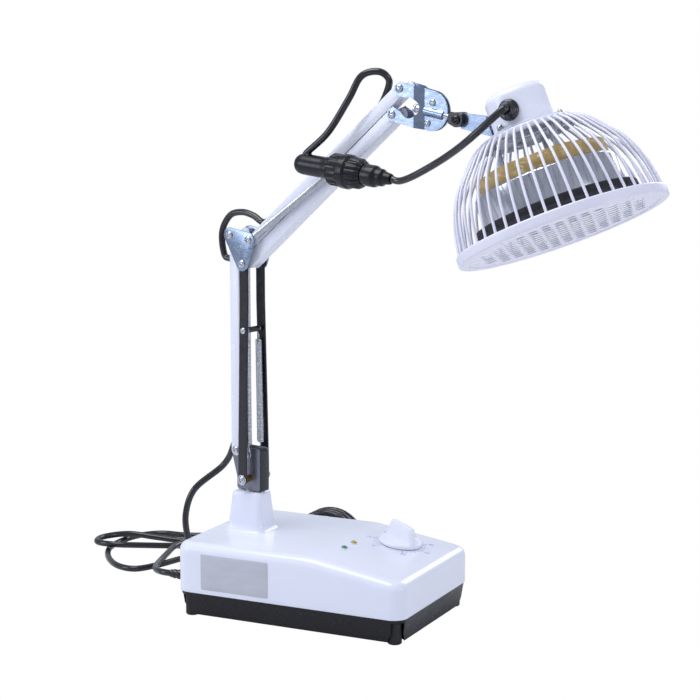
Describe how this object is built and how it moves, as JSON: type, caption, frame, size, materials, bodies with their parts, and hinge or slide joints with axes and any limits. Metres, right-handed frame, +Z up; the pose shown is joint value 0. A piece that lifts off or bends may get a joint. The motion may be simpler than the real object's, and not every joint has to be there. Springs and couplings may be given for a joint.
{
  "type": "infrared heat therapy lamp",
  "caption": "Desk heat lamp: weighted timer base, spring balanced parallel arm with swivel, elbow and wrist, and a tilting caged round heater head on a coiled mains lead.",
  "frame": {"origin": "centre of the object's own box on the ground, without its leads", "axes": "+X to the right along the base's length, -Y to the front, +Z up"},
  "size_m": [0.6612, 0.3869, 0.5063],
  "materials": {
    "white_abs": "gloss",
    "black_abs": "satin",
    "foot_rubber": "matte",
    "zinc_steel": "satin",
    "ballast_iron": "matte",
    "timer_plastic": "matte",
    "knob_abs": "gloss",
    "green_lens": "gloss",
    "yellow_lens": "gloss",
    "board": "matte",
    "bracket_steel": "satin",
    "black_enamel": "satin",
    "white_enamel": "gloss",
    "blue_zinc": "satin",
    "brass_bush": "polished",
    "spring_steel": "polished",
    "black_steel": "satin",
    "cage_white": "gloss",
    "rim_white": "gloss",
    "mirror_steel": "polished",
    "mineral": "matte",
    "element_clay": "matte",
    "glass_band": "matte",
    "cord_rubber": "satin",
    "pin_brass": "polished"
  },
  "bodies": {
    "base": {"base_tray": "black_abs", "base_cover": "white_abs", "rubber_feet": "foot_rubber", "cover_screws": "zinc_steel", "ballast_plate": "ballast_iron", "socket_tube": "zinc_steel", "timer_body": "timer_plastic", "heating_lamp_lens": "green_lens", "timer_lamp_lens": "yellow_lens", "lamp_board": "board", "strain_reliefs": "cord_rubber", "mains_lead": "cord_rubber", "mains_coil": "cord_rubber", "mains_plug": "black_abs", "plug_pins": "pin_brass"},
    "timer": {"timer_shaft": "timer_plastic", "timer_knob": "knob_abs"},
    "arm_bracket": {"swivel_bracket": "bracket_steel", "swivel_stem": "zinc_steel", "bracket_pins": "zinc_steel", "lead_from_base": "cord_rubber"},
    "rear_arm": {"rear_link": "white_enamel", "lead_lower_arm": "cord_rubber"},
    "front_arm": {"front_straps": "black_enamel", "front_lower_pin": "zinc_steel", "strap_bushes": "brass_bush", "strap_washers": "zinc_steel", "spring_spreader": "black_steel", "lower_springs": "spring_steel"},
    "elbow": {"elbow_plates": "blue_zinc", "elbow_pins": "zinc_steel", "elbow_spacers": "zinc_steel", "upper_springs": "spring_steel", "lead_elbow": "cord_rubber"},
    "guide_arm": {"upper_bar": "white_enamel", "lead_upper_arm": "cord_rubber"},
    "main_arm": {"lower_bar": "white_enamel", "upper_spring_pin": "zinc_steel"},
    "wrist": {"wrist_plates": "blue_zinc", "wrist_screws": "zinc_steel", "lead_loop": "cord_rubber", "inline_connector": "black_abs"},
    "fork": {"fork_rod": "zinc_steel", "tilt_fork": "black_steel", "tilt_bolt": "black_steel", "lead_to_fork": "cord_rubber"},
    "head": {"head_bracket": "blue_zinc", "bracket_rivets": "zinc_steel", "head_cap": "white_enamel", "head_gland": "cord_rubber", "ring_nuts": "zinc_steel", "cage_ring": "cage_white", "cage_wires": "cage_white", "guard_rim": "rim_white", "heater_cup": "mirror_steel", "mineral_plate": "mineral", "heating_element": "element_clay", "insulation_band": "glass_band", "heater_posts": "zinc_steel", "lead_to_head": "cord_rubber"}
  },
  "joints": [
    {"name": "swivel", "type": "hinge", "parent": "base", "child": "arm_bracket", "pos_m": [-0.18965, 0.04192, 0.108], "axis": [0, 0, 1], "range_deg": [-60, 60], "deforming": ["lead_from_base"]},
    {"name": "timer_turn", "type": "hinge", "parent": "base", "child": "timer", "pos_m": [-0.04765, 0.07192, 0.06445], "axis": [-0.1495, 0, -0.9888], "range_deg": [0, 300]},
    {"name": "lower_hinge", "type": "hinge", "parent": "arm_bracket", "child": "rear_arm", "pos_m": [-0.20139, 0.04442, 0.1465], "axis": [0.2079, 0.9781, 0], "range_deg": [-8, 40], "deforming": ["lead_lower_arm"]},
    {"name": "front_hinge", "type": "hinge", "parent": "arm_bracket", "child": "front_arm", "pos_m": [-0.18671, 0.0413, 0.1205], "axis": [0.2079, 0.9781, 0], "range_deg": [-8, 40], "deforming": ["lower_springs"]},
    {"name": "elbow_hold", "type": "hinge", "parent": "rear_arm", "child": "elbow", "pos_m": [-0.20139, 0.04442, 0.3515], "axis": [0.2079, 0.9781, 0], "range_deg": [-40, 8], "deforming": ["lead_elbow"]},
    {"name": "upper_hinge", "type": "hinge", "parent": "elbow", "child": "guide_arm", "pos_m": [-0.17889, 0.03963, 0.348], "axis": [0.2079, 0.9781, 0], "range_deg": [0, 55], "deforming": ["lead_upper_arm"]},
    {"name": "main_hinge", "type": "hinge", "parent": "elbow", "child": "main_arm", "pos_m": [-0.18671, 0.0413, 0.3255], "axis": [0.2079, 0.9781, 0], "range_deg": [0, 55], "deforming": ["upper_springs"]},
    {"name": "wrist_hold", "type": "hinge", "parent": "guide_arm", "child": "wrist", "pos_m": [-0.01356, 0.00449, 0.48882], "axis": [0.2079, 0.9781, 0], "range_deg": [-55, 0], "deforming": ["lead_loop"]},
    {"name": "head_roll", "type": "hinge", "parent": "wrist", "child": "fork", "pos_m": [-0.00368, 0.00239, 0.47202], "axis": [0.9615, -0.2044, -0.184], "range_deg": [-45, 45], "deforming": ["lead_to_fork"]},
    {"name": "head_tilt", "type": "hinge", "parent": "fork", "child": "head", "pos_m": [0.04295, -0.00752, 0.4631], "axis": [0.2079, 0.9781, 0], "range_deg": [-30, 40], "deforming": ["lead_to_head"]}
  ],
  "couplings": [
    {"joint": "front_hinge", "follows": "lower_hinge", "ratio": 1},
    {"joint": "elbow_hold", "follows": "lower_hinge", "ratio": -1},
    {"joint": "main_hinge", "follows": "upper_hinge", "ratio": 1},
    {"joint": "wrist_hold", "follows": "upper_hinge", "ratio": -1}
  ]
}
